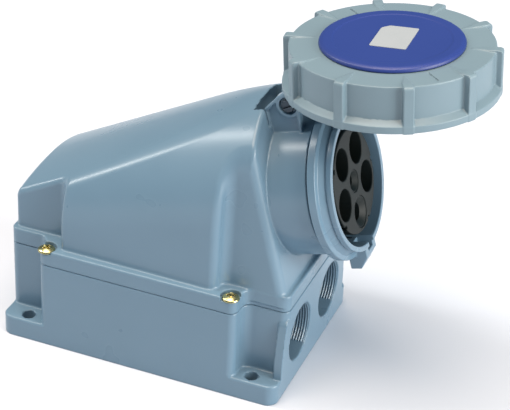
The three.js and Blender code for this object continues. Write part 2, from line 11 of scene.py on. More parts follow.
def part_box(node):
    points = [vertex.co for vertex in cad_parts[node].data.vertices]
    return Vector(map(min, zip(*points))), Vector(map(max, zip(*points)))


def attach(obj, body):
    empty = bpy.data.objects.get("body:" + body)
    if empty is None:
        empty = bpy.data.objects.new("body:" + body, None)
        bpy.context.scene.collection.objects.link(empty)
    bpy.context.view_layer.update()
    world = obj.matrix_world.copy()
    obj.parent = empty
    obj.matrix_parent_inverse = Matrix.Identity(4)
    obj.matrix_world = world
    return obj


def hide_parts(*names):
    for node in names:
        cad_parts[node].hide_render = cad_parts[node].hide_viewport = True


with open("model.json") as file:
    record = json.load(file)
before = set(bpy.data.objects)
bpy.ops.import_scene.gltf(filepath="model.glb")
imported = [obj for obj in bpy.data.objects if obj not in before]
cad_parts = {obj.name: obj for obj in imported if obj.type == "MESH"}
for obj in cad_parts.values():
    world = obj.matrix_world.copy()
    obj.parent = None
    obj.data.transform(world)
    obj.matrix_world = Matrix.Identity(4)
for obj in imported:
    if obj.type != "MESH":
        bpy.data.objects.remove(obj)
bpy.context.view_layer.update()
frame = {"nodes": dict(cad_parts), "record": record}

# A wall-mounted industrial socket box with its lid open. A moulded form is a distance field in
# millimetres: negative inside the piece, zero on its surface. Each is meshed once, and its edges are
# true fillets. Round pieces are turned from an outline.

MM = 0.001


def corners(node):
    """The lowest and highest corner of a CAD node, in millimetres."""
    low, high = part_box(node)
    return np.array(low) / MM, np.array(high) / MM


# ---------- driving sizes, in millimetres ----------

base_low, base_high = corners("base_housing")
cover_low, cover_high = corners("cover_housing")
HALF_LENGTH = base_high[0]
HALF_WIDTH = base_high[1]
BASE_TOP = base_high[2]
FLANGE_BOTTOM = cover_low[2]
FLANGE_TOP = 61.5
FOOT_TOP, FOOT_CORNER = 12.2, 6.5
GUSSET_TOP, GUSSET_REACH, GUSSET_THICKNESS = 48, 5.4, 5
BODY_BACK, BODY_FRONT, BODY_SIDE = -58, 57.3, 44.2  # where the corner pockets begin
POCKET_RADIUS = 5.6
BODY_EDGE = 4.5
BASE_WALL, BASE_FLOOR = 3.5, 3
HOLE_X, HOLE_Y, HOLE_RADIUS = (-67.7, 65.6), 51.3, 3.65
ENTRY_Y, ENTRY_Z, ENTRY_RADIUS, ENTRY_WALL, ENTRY_DEPTH = 22.8, 27.5, 16, 4.5, 13
THREAD_PITCH, THREAD_DEPTH, THREAD_BACK, THREAD_FRONT = 1.5, 0.55, -12.5, -0.9
SCREW_X, SCREW_Y = (-54.5, 52.9), 53.8
SEAT_RADIUS, SEAT_DEPTH, SCREW_HOLE, SCREW_HOLE_BOTTOM, TOWER_RADIUS = 5.6, 2.3, 2.3, 18, 6

HOOD_BACK = cover_low[0] + 2.1
HOOD_WALL = 3.2
HOOD_FOOT = 55  # inside the flange
HOOD_LEAN = 1.9  # how far each side spreads, 45 below the socket's axis
HOOD_DRAFT = 0.0513  # how fast the front corners' sides lean in
ARCH_RADIUS = 53
RIDGE_HEIGHT, RIDGE_SLOPE = 88, math.radians(27.7)
CROWN_NEAR, CROWN_FAR = 200, 102
HOOD_POCKET_X, HOOD_POCKET_SIDE = (-47, 43.9), (41.1, 44.4)  # back and front pockets
SLOT_X, SLOT_HALF_WIDTH, SLOT_FLOOR = (46.6, 57.5), 16, 142.5

SOCKET_TILT = math.radians(16.19)
MOUTH = np.array([100.3, 0, 114.3])
HOOD_FRONT = -35.3  # along the socket axis, back from its mouth
NECK_RADIUS, NECK_END, NECK_BORE = 38, -13.5, 36

LID_TILT = math.radians(4.48)
LID_CENTRE = np.array([113.1, 0, 172.9])
RING_BEAD, RING_HEIGHT = 54.9, 23
DISC_RADIUS, DISC_TOP = 36.5, 25.8
PLATE_RADIUS, PLATE_FACE = 45.5, 14.5
RIBS, RIB_PHASE, RIB_HALF_WIDTH, RIB_HEIGHT = 10, math.radians(8), 2.6, 24
RIB_START, RIB_RUN = 39.5, 11  # where the ribs begin, and how far out they widen and rise
LUG_ANGLE, LUG_HALF_WIDTH = math.radians(75), 6
MARK_ANGLE = RIB_PHASE + 3.5 * (2 * math.pi / RIBS)  # halfway between two ribs

CARRIER_RADIUS, CARRIER_FOOT, CARRIER_FACE, CARRIER_BACK = 28, 33.2, -2.3, -50
WELL_RADIUS, PILOT_WELL_RADIUS, WELL_FLOOR = 8.5, 5.9, -44
FUNNEL_BORE, PILOT_FUNNEL_BORE, FUNNEL_GAP = 4.8, 3.4, 0.1
CONTACT_CIRCLE = 17.9
CONTACTS = {
    f"contact_{name}": math.radians(angle)
    for name, angle in (("L1", 36), ("L2", 108), ("N", 180), ("L3", 252), ("PE", 324))
}

PIN_RADIUS, PIN_HOLE, PIN_SEAT = 2.5, 2.55, 4.7
PIN_HEAD, PIN_BACK, PIN_FRONT, PIN_END = 3.4, -12.3, -15.4, 17
PIN_SLOT_TURN = math.radians(30)
EAR_INNER, EAR_OUTER, EAR_BOSS, ARM_HALF_WIDTH = 9, 14.5, 7, 8.4

# Head radius, head height, shank radius and length.
COVER_SCREW = (4.75, 2.4, 2, 38)
LID_SCREW = (3, 1.8, 1.5, 7.5)
ARM_SCREW = (2.1, 1.4, 1.2, 6.4)
LID_SCREW_CIRCLE, ARM_SCREW_Y, ARM_SCREW_Z, ARM_FACE = 24, 5, 42.5, 10.7

# Inner radius, outer radius, and the two ends along the axis.
COLLAR_SEAL = (35.9, 37.4, -13.2, -11.8)
LOCK_RING = (35.9, 38.2, -45, -38.8)
LID_SEAL = (33.4, 39.6, 10.8, 14.2)
PIN_CLIP = (2.6, 4.6, 14.8, 15.8)

# Radius, bore and back end.
POWER_CONTACT = (6, 4.1, -74)
PILOT_CONTACT = (4.2, 2.6, -68)

hinge = next(j for j in frame["record"]["behaviour"]["joints"] if j["name"] == "lid_hinge")
PIN = np.array(hinge["pos_m"]) / MM


def along_axis(origin, tilt):
    """A frame whose +X leans up from the row's +X by tilt, in millimetres."""
    return Matrix.Translation(Vector(origin)) @ Matrix.Rotation(-tilt, 4, "Y")


SOCKET = along_axis(MOUTH, SOCKET_TILT)
LID = along_axis(LID_CENTRE, math.pi / 2 + LID_TILT)
ROW = Matrix.Identity(4)
PIN_H, _, PIN_Z = LID.inverted() @ Vector(PIN)


def socket_coordinates(x, z):
    """Distance along the socket axis from its mouth, and height across it."""
    dx, dz = x - MOUTH[0], z - MOUTH[2]
    cos, sin = math.cos(SOCKET_TILT), math.sin(SOCKET_TILT)
    return dx * cos + dz * sin, dz * cos - dx * sin


# ---------- fields ----------


def meet(a, b, radius=0.0):
    """What is inside both, with the shared edge rounded."""
    u = np.maximum(a + radius, 0)
    v = np.maximum(b + radius, 0)
    return np.minimum(np.maximum(a, b), -radius) + np.hypot(u, v)


def join(a, b, radius=0.0):
    """What is inside either, with a fillet where they meet."""
    return -meet(-a, -b, radius)


def less(a, b, radius=0.0):
    """What is inside a and outside b, with the shared edge rounded."""
    return meet(a, -b, radius)


def between(value, low, high):
    """What lies between two parallel planes."""
    return np.maximum(low - value, value - high)


def outline(x, y, back, front, side, corner):
    """A rounded rectangle from back to front, and out to side on both sides."""
    u = np.abs(x - (back + front) / 2) - ((front - back) / 2 - corner)
    v = np.abs(y) - (side - corner)
    return np.hypot(np.maximum(u, 0), np.maximum(v, 0)) + np.minimum(np.maximum(u, v), 0) - corner


def corner_pockets(x, y, back, front, side, radius):
    """The four corners left out of a cross-shaped plan."""
    return meet(np.minimum(front - x, x - back), side - np.abs(y), radius)


def at_corners(x, y, places_x, place_y):
    """Distance from the nearest of four upright axes."""
    nearest = np.minimum(np.abs(x - places_x[0]), np.abs(x - places_x[1]))
    return np.hypot(nearest, np.abs(y) - place_y)


def repeated(radius, angle, count):
    """Distance out along, and to the side of, the nearest of evenly spaced spokes."""
    sector = 2 * math.pi / count
    turn = np.mod(angle + sector / 2, sector) - sector / 2
    return radius * np.cos(turn), radius * np.sin(turn)


def body_plan(x, y):
    """The plan of the base and the cover's flange: a rectangle less its four corners."""
    whole = outline(x, y, -HALF_LENGTH, HALF_LENGTH, HALF_WIDTH, BODY_EDGE)
    pockets = corner_pockets(x, y, BODY_BACK, BODY_FRONT, BODY_SIDE, POCKET_RADIUS)
    return less(whole, pockets, BODY_EDGE)


def polygon(u, v, points):
    """Distance from a closed outline of points."""
    nearest = np.full(u.shape, 1e9, u.dtype)
    inside = np.zeros(u.shape, bool)
    for (u0, v0), (u1, v1) in zip(points, points[1:] + points[:1]):
        du, dv = u1 - u0, v1 - v0
        share = np.clip(((u - u0) * du + (v - v0) * dv) / (du * du + dv * dv), 0, 1)
        nearest = np.minimum(nearest, (u - u0 - du * share) ** 2 + (v - v0 - dv * share) ** 2)
        if dv:
            inside ^= ((v < v0) != (v < v1)) & (u < u0 + (v - v0) * (du / dv))
    return np.where(inside, -1, 1) * np.sqrt(nearest)


def inset(points, distance):
    """The same outline, drawn anticlockwise, with every side moved in."""
    moved = []
    for i, (u, v) in enumerate(points):
        before, after = points[i - 1], points[(i + 1) % len(points)]
        a = np.array([before[1] - v, u - before[0]])
        b = np.array([v - after[1], after[0] - u])
        a, b = a / np.linalg.norm(a), b / np.linalg.norm(b)
        shift = (a + b) * distance / (1 + a @ b)
        moved.append((u + shift[0], v + shift[1]))
    return moved


def turned_field(radius, along, points, rounding):
    """A solid of revolution from an outline of (radius, distance along) points."""
    ccw = sum(a[0] * b[1] - b[0] * a[1] for a, b in zip(points, points[1:] + points[:1])) > 0
    ordered = points if ccw else points[::-1]
    return polygon(radius, along, inset(ordered, rounding)) - rounding


# ---------- meshing ----------

SLAB = 24  # grid planes worked out at once, which keeps the memory small


def sample(field, axes):
    """The field's values on a grid."""
    values = np.empty([len(a) for a in axes], np.float32)
    for start in range(0, len(axes[0]), SLAB):
        x, y, z = np.meshgrid(axes[0][start : start + SLAB], axes[1], axes[2], indexing="ij")
        values[start : start + SLAB] = field(x, y, z)
    return values


def surface_nets(field, low, high, step):
    """Points and quads of a field's zero surface: one point for each grid cell that it crosses."""
    axes = [
        np.arange(a - 1.5 * step, b + 2.6 * step, step, dtype=np.float32)
        for a, b in zip(low, high)
    ]
    values = sample(field, axes)
    inside = values < 0
    cells_shape = tuple(n - 1 for n in inside.shape)
    offsets = list(itertools.product((0, 1), repeat=3))

    def shifted(array, offset):
        return array[tuple(slice(o, o + n) for o, n in zip(offset, cells_shape))]

    count = sum(shifted(inside, o).astype(np.int8) for o in offsets)
    cells = np.argwhere((count > 0) & (count < 8))
    index = np.full(cells_shape, -1, np.int64)
    index[tuple(cells.T)] = np.arange(len(cells))
    total = np.zeros((len(cells), 3))
    hits = np.zeros((len(cells), 1))
    for axis, offset in itertools.product(range(3), offsets):
        if offset[axis]:
            continue
        start = cells + offset
        end = start.copy()
        end[:, axis] += 1
        a = values[tuple(start.T)]
        b = values[tuple(end.T)]
        crossed = (a < 0) != (b < 0)
        point = start.astype(float)
        point[:, axis] += np.where(crossed, a / np.where(crossed, a - b, 1), 0)
        total += point * crossed[:, None]
        hits += crossed[:, None]
    points = total / hits * step + [a[0] for a in axes]
    return points, crossing_quads(inside, index)


def crossing_quads(inside, index):
    """One quad round each grid edge that crosses the surface, facing out."""
    quads = []
    for axis in range(3):
        step = np.eye(3, dtype=int)
        e0, e1, e2 = step[axis], step[(axis + 1) % 3], step[(axis + 2) % 3]
        first = tuple(slice(0, n - e) for n, e in zip(inside.shape, e0))
        second = tuple(slice(e, n) for n, e in zip(inside.shape, e0))
        for rising in (False, True):
            edges = np.argwhere((inside[first] != rising) & (inside[second] == rising))
            around = [edges - e1 - e2, edges - e2, edges, edges - e1]
            if rising:
                around.reverse()
            quads.append(np.stack([index[tuple(a.T)] for a in around], axis=1))
    return np.concatenate(quads)


def slope(field, points, reach=0.02):
    """The field's value and gradient at points."""
    value = field(*points.T)
    gradient = np.empty_like(points)
    for axis in range(3):
        ahead, behind = points.copy(), points.copy()
        ahead[:, axis] += reach
        behind[:, axis] -= reach
        gradient[:, axis] = (field(*ahead.T) - field(*behind.T)) / (2 * reach)
    return value, gradient


def settle(field, points, limit, rounds=2):
    """Moves points onto the surface, and gives its normals there."""
    for _ in range(rounds):
        value, gradient = slope(field, points)
        move = gradient * (value / np.maximum((gradient**2).sum(1), 0.05))[:, None]
        length = np.linalg.norm(move, axis=1, keepdims=True)
        points = points - move * np.minimum(1, limit / np.maximum(length, 1e-9))
    gradient = slope(field, points)[1]
    return points, gradient / np.maximum(np.linalg.norm(gradient, axis=1, keepdims=True), 1e-9)


def new_mesh(name, points, faces):
    """A smooth-shaded mesh whose faces all have the same number of corners."""
    mesh = bpy.data.meshes.new(name)
    mesh.vertices.add(len(points))
    mesh.vertices.foreach_set("co", np.asarray(points, np.float32).ravel())
    width = faces.shape[1]
    mesh.loops.add(faces.size)
    mesh.loops.foreach_set("vertex_index", faces.ravel().astype(np.int32))
    mesh.polygons.add(len(faces))
    mesh.polygons.foreach_set("loop_start", np.arange(0, faces.size, width, dtype=np.int32))
    mesh.polygons.foreach_set("use_smooth", np.ones(len(faces), bool))
    mesh.update(calc_edges=True)
    mesh.validate()
    return mesh


def thinned(mesh, share):
    """The same mesh with fewer faces where it is flat."""
    holder = bpy.data.objects.new("holder", mesh)
    bpy.context.scene.collection.objects.link(holder)
    holder.modifiers.new("thin", "DECIMATE").ratio = share
    made = bpy.data.meshes.new_from_object(holder.evaluated_get(bpy.context.evaluated_depsgraph_get()))
    bpy.data.objects.remove(holder)
    bpy.data.meshes.remove(mesh)
    return made


def positions(mesh):
    """A mesh's points, one row each."""
    points = np.empty(len(mesh.vertices) * 3, np.float32)
    mesh.vertices.foreach_get("co", points)
    return points.reshape(-1, 3).astype(float)


def formed(name, field, low, high, step, place=ROW, share=0.3):
    """An object meshed from a field drawn in the frame "place", keeping a share of its faces."""
    points, quads = surface_nets(field, low, high, step)
    points, _ = settle(field, points, step * 0.6)
    mesh = thinned(new_mesh(name, points, quads), share)
    points, normals = settle(field, positions(mesh), step * 0.2, rounds=1)
    turn = np.array(place.to_3x3())
    moved = (points @ turn.T + np.array(place.translation)) * MM
    mesh.vertices.foreach_set("co", moved.astype(np.float32).ravel())
    mesh.polygons.foreach_set("use_smooth", np.ones(len(mesh.polygons), bool))
    mesh.update()
    mesh.normals_split_custom_set_from_vertices((normals @ turn.T).astype(np.float32))
    return shown(name, mesh)


def shown(name, mesh):
    """An object in the scene with this mesh."""
    mesh.name = name
    piece = bpy.data.objects.new(name, mesh)
    bpy.context.scene.collection.objects.link(piece)
    return piece


def filleted(points, radius, steps=4):
    """A closed outline with each corner rounded, except on the axis, where its first number is 0."""
    made = []
    for i, corner in enumerate(points):
        corner = np.array(corner, float)
        before = np.array(points[i - 1], float)
        after = np.array(points[(i + 1) % len(points)], float)
        a, b = before - corner, after - corner
        la, lb = np.linalg.norm(a), np.linalg.norm(b)
        if corner[0] < 1e-6:
            made.append(tuple(corner))
            continue
        reach = min(radius, la * 0.45, lb * 0.45)
        start, end = corner + a / la * reach, corner + b / lb * reach
        for t in np.linspace(0, 1, steps + 1):
            made.append(tuple(start * (1 - t) ** 2 + corner * 2 * t * (1 - t) + end * t * t))
    return made


def around(radius, angle, along=0):
    """A point at an angle from up about a place's X axis."""
    return Vector((along, -radius * math.sin(angle), radius * math.cos(angle)))


def turned(name, points, place, radius=0.4, segments=160):
    """A solid of revolution about the place's X axis, from (radius, distance along) points."""
    profile = filleted(points, radius)
    rows = len(profile)
    angles = np.arange(segments) * (2 * math.pi / segments)
    points = np.array([around(r, a, along) for a in angles for r, along in profile])
    i, j = np.meshgrid(np.arange(segments), np.arange(rows), indexing="ij")
    i, j = i.ravel(), j.ravel()
    after, up = (i + 1) % segments, (j + 1) % rows
    faces = np.stack([i * rows + j, after * rows + j, after * rows + up, i * rows + up], axis=1)
    mesh = new_mesh(name, points, faces)
    work = bmesh.new()
    work.from_mesh(mesh)
    bmesh.ops.remove_doubles(work, verts=work.verts, dist=1e-4)
    bmesh.ops.dissolve_degenerate(work, edges=work.edges, dist=1e-5)
    bmesh.ops.recalc_face_normals(work, faces=work.faces)
    work.to_mesh(mesh)
    work.free()
    mesh.transform(Matrix.Scale(MM, 4) @ place)
    piece = shown(name, mesh)
    weigh_normals(piece)
    return piece


def weigh_normals(piece):
    """Lets the large faces set the shading beside small fillets."""
    weighted = piece.modifiers.new("normals", "WEIGHTED_NORMAL")
    weighted.mode = "FACE_AREA"
    weighted.weight = 100


# ---------- materials ----------


def node(tree, kind, **inputs):
    """A new shader node with some inputs set."""
    made = tree.nodes.new(kind)
    for name, value in inputs.items():
        made.inputs[name.replace("_", " ")].default_value = value
    return made


def linear(colour):
    """An sRGB colour, 0 to 255, as linear values."""
    shares = [c / 255 for c in colour]
    return (*(c / 12.92 if c <= 0.04045 else ((c + 0.055) / 1.055) ** 2.4 for c in shares), 1)


def surface(name, light, dark, roughness, grain=0.3, relief=0.02, metal=0.0, gloss=0.5, patch=40):
    """A moulded or machined finish: slow changes of colour, uneven gloss, and a fine grain.

    Light and dark are sRGB colours. Patch and grain are the sizes of the slow and the fine changes,
    and relief is the grain's depth, all in millimetres.
    """
    material = bpy.data.materials.new(name)
    material.use_nodes = True
    tree = material.node_tree
    shader = tree.nodes["Principled BSDF"]
    shader.inputs["Metallic"].default_value = metal
    shader.inputs["Specular IOR Level"].default_value = gloss
    where = tree.nodes.new("ShaderNodeTexCoord").outputs["Object"]

    slow = node(tree, "ShaderNodeTexNoise", Scale=1000 / patch, Detail=3, Roughness=0.55)
    tree.links.new(where, slow.inputs["Vector"])
    colour = tree.nodes.new("ShaderNodeMix")
    colour.data_type = "RGBA"
    colour.inputs[6].default_value = linear(dark)
    colour.inputs[7].default_value = linear(light)
    tree.links.new(slow.outputs["Fac"], colour.inputs[0])
    tree.links.new(colour.outputs[2], shader.inputs["Base Color"])

    fine = node(tree, "ShaderNodeTexNoise", Scale=1000 / grain, Detail=2, Roughness=0.6)
    tree.links.new(where, fine.inputs["Vector"])
    uneven = tree.nodes.new("ShaderNodeMapRange")
    uneven.inputs["To Min"].default_value = roughness - 0.04
    uneven.inputs["To Max"].default_value = roughness + 0.05
    tree.links.new(slow.outputs["Fac"], uneven.inputs["Value"])
    tree.links.new(uneven.outputs["Result"], shader.inputs["Roughness"])

    bump = node(tree, "ShaderNodeBump", Strength=0.5, Distance=relief * MM)
    tree.links.new(fine.outputs["Fac"], bump.inputs["Height"])
    tree.links.new(bump.outputs["Normal"], shader.inputs["Normal"])
    return material


housing = surface("moulded_housing", (102, 129, 148), (96, 123, 142), 0.28, relief=0.012)
ring_grey = surface("moulded_ring", (112, 133, 143), (106, 127, 138), 0.4, relief=0.02)
blue = surface("moulded_blue", (38, 57, 124), (34, 53, 118), 0.42, relief=0.02)
dark = surface("moulded_carrier", (14, 25, 26), (10, 20, 21), 0.55, relief=0.02, gloss=0.3)
rubber = surface("seal_rubber", (38, 40, 42), (30, 32, 34), 0.75, grain=0.5)
brass = surface("contact_brass", (150, 128, 84), (132, 112, 72), 0.38, metal=1, relief=0.01)
zinc = surface("yellow_zinc", (206, 200, 150), (170, 156, 104), 0.26, metal=1, relief=0.01, patch=3)
steel = surface("plain_steel", (70, 78, 86), (56, 64, 72), 0.34, metal=1, relief=0.01, patch=6)
paper = surface("label_paper", (152, 159, 164), (146, 154, 159), 0.6, relief=0.01, patch=12)

FINISHES = {
    "housing_plastic": housing,
    "ring_plastic": ring_grey,
    "lid_blue": blue,
    "carrier_plastic": dark,
    "seal_rubber": rubber,
    "contact_brass": brass,
    "plated_screw": zinc,
    "screw_steel": steel,
    "label_stock": paper,
}


def finish(piece, slot, body="root", stands_for=()):
    """Gives a piece its material and body, and hides the CAD nodes that it stands for."""
    piece.data.materials.clear()
    piece.data.materials.append(FINISHES[slot])
    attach(piece, body)
    if stands_for:
        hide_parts(*stands_for)
    return piece


# ---------- base ----------


def gusset_reach(z):
    """How far the end wall's gussets stand out beside the body at a height."""
    share = np.clip((z - FOOT_TOP) / (GUSSET_TOP - FOOT_TOP), 0, 1.2)
    return GUSSET_REACH * (1 - share**2.2)


def base_form(x, y, z):
    """The deep base: body, foot and gussets, less its inside, entries, holes and screw bores."""
    plan = body_plan(x, y)
    limits = outline(x, y, -HALF_LENGTH, HALF_LENGTH, HALF_WIDTH, 0.01)
    body = meet(plan, z - BASE_TOP, 0.5)
    foot_plan = outline(x, y, -HALF_LENGTH, HALF_LENGTH, HALF_WIDTH, FOOT_CORNER)
    foot = meet(foot_plan, z - FOOT_TOP, 1.3)
    beside = np.abs(y) - BODY_SIDE - gusset_reach(z)
    gusset = meet(HALF_LENGTH - GUSSET_THICKNESS - x, beside, 0.8)
    gusset = meet(gusset, z - GUSSET_TOP + 1, 3)
    form = np.maximum(join(join(body, foot, 1), gusset, 0.8), limits)
    form = meet(form, -z, 0.5)

    across = np.hypot(np.abs(y) - ENTRY_Y, z - ENTRY_Z)
    tower = at_corners(x, y, SCREW_X, SCREW_Y)
    boss = meet(across - ENTRY_RADIUS - ENTRY_WALL, HALF_LENGTH - ENTRY_DEPTH - x, 1)
    cavity = meet(plan + BASE_WALL, BASE_FLOOR - z, 2)
    cavity = less(less(cavity, tower - TOWER_RADIUS, 1), boss, 1)
    form = less(form, cavity, 0.5)
    entry = np.maximum(across - ENTRY_RADIUS, HALF_LENGTH - ENTRY_DEPTH - 1 - x)
    form = less(form, entry, 0.7)
    form = less(form, at_corners(x, y, HOLE_X, HOLE_Y) - HOLE_RADIUS, 0.4)
    return less(form, np.maximum(tower - SCREW_HOLE, SCREW_HOLE_BOTTOM - z), 0.2)


def entry_thread(side):
    """The visible turns of a cable entry's thread; the very bottom of the bore is plain."""
    reach = ENTRY_RADIUS + 0.8

    def field(x, y, z):
        radius, angle = np.hypot(y, z), np.arctan2(y, z)
        turn = x / THREAD_PITCH - angle / (2 * math.pi)
        saw = np.abs(turn - np.floor(turn) - 0.5) * 2
        threaded = np.clip(z + 13.5, 0, 1) * np.clip((-0.8 - x) / 0.8, 0, 1)
        crest = ENTRY_RADIUS - 0.05 - THREAD_DEPTH * threaded * np.clip(saw * 1.25, 0, 1)
        ring = np.maximum(radius - reach, crest - radius)
        return np.maximum(ring, between(x, THREAD_BACK, THREAD_FRONT))

    place = Matrix.Translation((HALF_LENGTH, side * ENTRY_Y, ENTRY_Z))
    low, high = (THREAD_BACK, -reach, -reach), (THREAD_FRONT, reach, reach)
    name = "entry_thread_near" if side < 0 else "entry_thread_far"
    return formed(name, field, low, high, 0.32, place, 0.5)


# ---------- cover ----------


def hood_form(x, y, z):
    """The hood's outside: a vault about the socket axis under a crowned roof, less four corners."""
    s, h = socket_coordinates(x, z)
    lean = HOOD_LEAN * np.clip(-h / 45, 0, 1.6) ** 2
    vault = np.where(h > 0, np.hypot(y, np.maximum(h, 0)), np.abs(y) - lean) - ARCH_RADIUS
    lift = (z - RIDGE_HEIGHT) * math.cos(RIDGE_SLOPE) - (x - HOOD_BACK) * math.sin(RIDGE_SLOPE)
    crown_radius = np.where(y < 0, CROWN_NEAR, CROWN_FAR)
    crown = np.hypot(y, lift + crown_radius) - crown_radius
    form = meet(vault, crown, 3.2)
    form = meet(form, s - HOOD_FRONT, 2.2)
    form = meet(form, HOOD_BACK - x, 3.5)
    front_side = HOOD_POCKET_SIDE[1] - HOOD_DRAFT * (z - FLANGE_TOP)
    pocket_side = np.where(x > 0, front_side, HOOD_POCKET_SIDE[0])
    pockets = corner_pockets(x, y, *HOOD_POCKET_X, pocket_side, POCKET_RADIUS)
    return less(form, pockets, np.where(x > 0, 5.0, 3.0))


def hinge_ears(s, y, h):
    """Two plates with a boss round the pin, and a sunk web on their outer faces."""
    pin_s, pin_h = socket_coordinates(PIN[0], PIN[2])
    boss = np.hypot(s - pin_s, h - pin_h) - EAR_BOSS
    back, foot = HOOD_FRONT - 1.5, NECK_BORE - 3
    points = [
        (back, foot), (pin_s + 4.8, foot), (pin_s + 4.8, pin_h - 6), (pin_s + 4, pin_h),
        (pin_s - 4.9, pin_h + 4.9), (back, pin_h - 1),
    ]
    plate = polygon(s, h, inset(points, 0.8)) - 0.8
    ear = join(plate, boss, 1.5)
    thickness = between(np.abs(y), EAR_INNER, EAR_OUTER)
    web = less(meet(plate + 1.5, EAR_OUTER - 1.5 - np.abs(y), 0.2), boss + 0.4, 0.5)
    return less(meet(ear, thickness, 0.5), web, 0.4)


def cover_form(x, y, z):
    """The cover: flange, hood, neck and hinge ears, less its inside, slot, seats and holes."""
    s, h = socket_coordinates(x, z)
    across = np.hypot(y, h)
    hood = hood_form(x, y, z)
    flange = meet(meet(body_plan(x, y), z - FLANGE_TOP, 1.1), FLANGE_BOTTOM - z, 0.4)
    form = join(flange, np.maximum(hood, HOOD_FOOT - z), 1.2)
    neck = meet(meet(across - NECK_RADIUS, s - NECK_END, 0.5), HOOD_FRONT - 3 - s, 0.1)
    slot = np.maximum(np.abs(y) - SLOT_HALF_WIDTH, SLOT_FLOOR - z)
    slot = np.maximum(between(x, *SLOT_X), slot)
    form = less(join(form, neck, 0.8), slot, 0.6)
    form = join(form, hinge_ears(s, y, h), 0.6)
    cavity = less(hood + HOOD_WALL, slot - HOOD_WALL, 1)
    form = less(form, cavity, 0.4)
    form = less(form, np.maximum(across - NECK_BORE, HOOD_FRONT - 9 - s), 0.3)
    at_screw = at_corners(x, y, SCREW_X, SCREW_Y)
    form = less(form, np.maximum(at_screw - SEAT_RADIUS, FLANGE_TOP - SEAT_DEPTH - z), 0.5)
    form = less(form, at_screw - SCREW_HOLE, 0.2)
    at_pin = np.hypot(x - PIN[0], z - PIN[2])
    form = less(form, np.maximum(at_pin - PIN_SEAT, y + EAR_OUTER - 2.4), 0.3)
    return less(form, np.maximum(at_pin - PIN_HOLE, np.abs(y) - 30), 0.2)


# ---------- socket ----------

COLLAR_FLANGE, COLLAR_BORE, COLLAR_BACK, KEY_REACH = 41.5, 34.3, -50, 48.4

# Outlines of turned pieces are (radius, distance along the axis).
COLLAR = [
    (COLLAR_BORE, 0), (37.2, 0), (37.2, -2.8), (36.4, -3.3), (38.8, -6.6), (COLLAR_FLANGE, -7.2),
    (COLLAR_FLANGE, -11.5), (35.6, -11.5), (35.6, COLLAR_BACK), (33.6, COLLAR_BACK), (33.8, -40),
]
KEY_SIDE = [(-11.5, -34), (-11.5, -KEY_REACH), (-5.5, -KEY_REACH), (-1, -42), (-1, -34)]
KEY_HALF_WIDTH, KEYWAY_HALF_WIDTH = 7.5, 3.4


def collar_form(s, y, h):
    """The socket's flange, rim and sleeve, with the bulge and the groove for the plug's key."""
    radius = np.hypot(y, h)
    ring = turned_field(radius, s, COLLAR, 0.45)
    key = meet(np.abs(y) - KEY_HALF_WIDTH, polygon(s, h, inset(KEY_SIDE, 0.5)) - 0.5, 0.5)
    key = less(key, np.maximum(radius - COLLAR_BORE, -12 - s), 0.3)
    shallow = np.maximum(-30 - s, between(h, -35, -30))
    deep = np.maximum(-9.5 - s, between(h, -39.5, -30))
    keyway = np.maximum(np.abs(y) - KEYWAY_HALF_WIDTH, np.minimum(shallow, deep))
    return less(join(ring, key, 0.8), keyway, 0.4)


def carrier_form(s, y, h):
    """The insert: five wells round a pilot well, a wider foot, and notches in its rim."""
    radius, angle = np.hypot(y, h), np.arctan2(-y, h)
    body = meet(meet(radius - CARRIER_RADIUS, s - CARRIER_FACE, 0.6), CARRIER_BACK - s, 0.3)
    foot = np.maximum(radius - CARRIER_FOOT, between(s, CARRIER_BACK, CARRIER_BACK + 4))
    form = join(body, foot, 0.5)
    out, side = repeated(radius, angle - math.radians(36), 5)
    at_well = np.hypot(side, out - CONTACT_CIRCLE)
    form = less(form, np.maximum(at_well - WELL_RADIUS, WELL_FLOOR - s), 0.5)
    form = less(form, at_well - 6.3, 0.2)
    form = less(form, np.maximum(radius - PILOT_WELL_RADIUS, WELL_FLOOR - s), 0.5)
    form = less(form, radius - 4.5, 0.2)
    out, side = repeated(radius, angle - math.radians(54), 5)
    notch = np.maximum(np.abs(side) - 1.2, CARRIER_RADIUS - 1.6 - out)
    return less(form, np.maximum(notch, -30 - s), 0.3)


# ---------- lid ----------

RING_BORE, RING_WALL = 34.6, 51.4
RING = [
    (51.8, 0), (RING_BEAD, 0), (RING_BEAD, 3.7), (RING_WALL, 6), (RING_WALL, RING_HEIGHT),
    (RING_BORE, RING_HEIGHT), (RING_BORE, 19.8), (48, 19.8), (48, 10.5), (49.8, 10.5), (49.8, 5),
]


